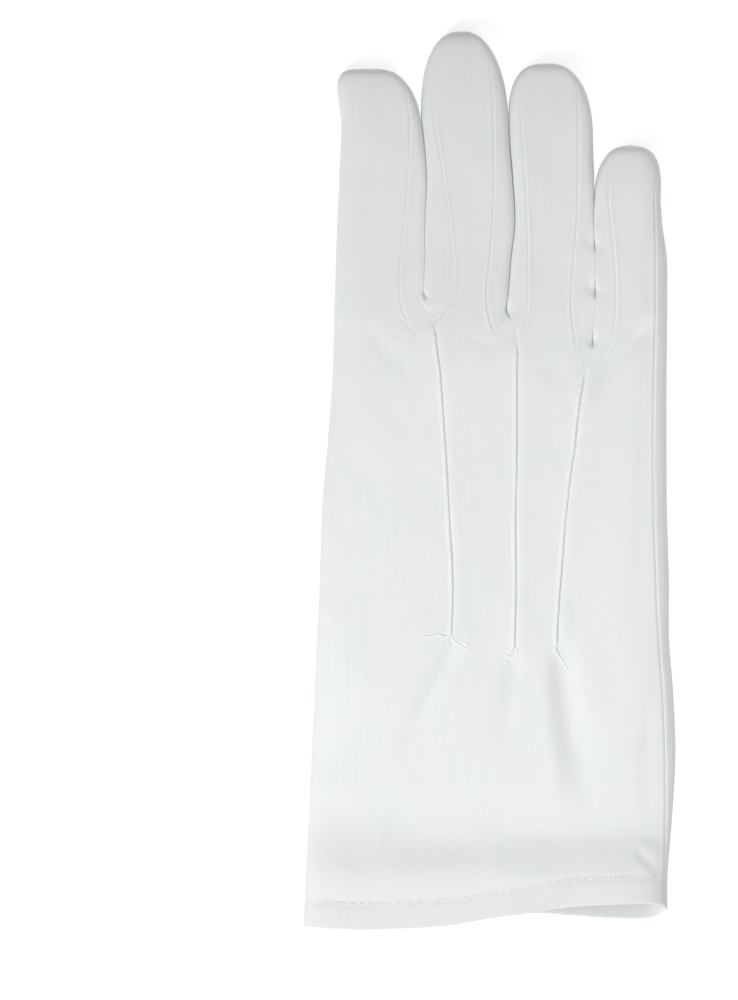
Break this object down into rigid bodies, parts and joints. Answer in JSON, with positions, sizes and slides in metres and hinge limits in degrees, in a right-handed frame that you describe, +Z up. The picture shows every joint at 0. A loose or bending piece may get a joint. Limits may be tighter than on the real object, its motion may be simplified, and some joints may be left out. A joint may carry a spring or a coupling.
{
  "type": "costume glove",
  "caption": "Thin white knitted dress glove for the right hand, lying flat with its back up and its thumb folded under the palm.",
  "frame": {"origin": "middle of the glove's outline, on the surface that it lies on", "axes": "+X across the hand towards the little finger, +Y towards the fingertips, +Z up, out of the back of the hand"},
  "size_m": [0.1044, 0.2515, 0.0186],
  "materials": {
    "knit_cloth": "matt white fine warp knit",
    "stitched_points": "matt white knit pinched up and sewn with white thread"
  },
  "bodies": {
    "root": {"back_panel": "knit_cloth", "palm_panel": "knit_cloth", "fourchette_index_right": "knit_cloth", "fourchette_middle_left": "knit_cloth", "fourchette_middle_right": "knit_cloth", "fourchette_ring_left": "knit_cloth", "fourchette_ring_right": "knit_cloth", "fourchette_little_left": "knit_cloth", "thumb": "knit_cloth", "cuff_hem": "knit_cloth", "point_index": "stitched_points", "point_middle": "stitched_points", "point_ring": "stitched_points"}
  },
  "joints": []
}
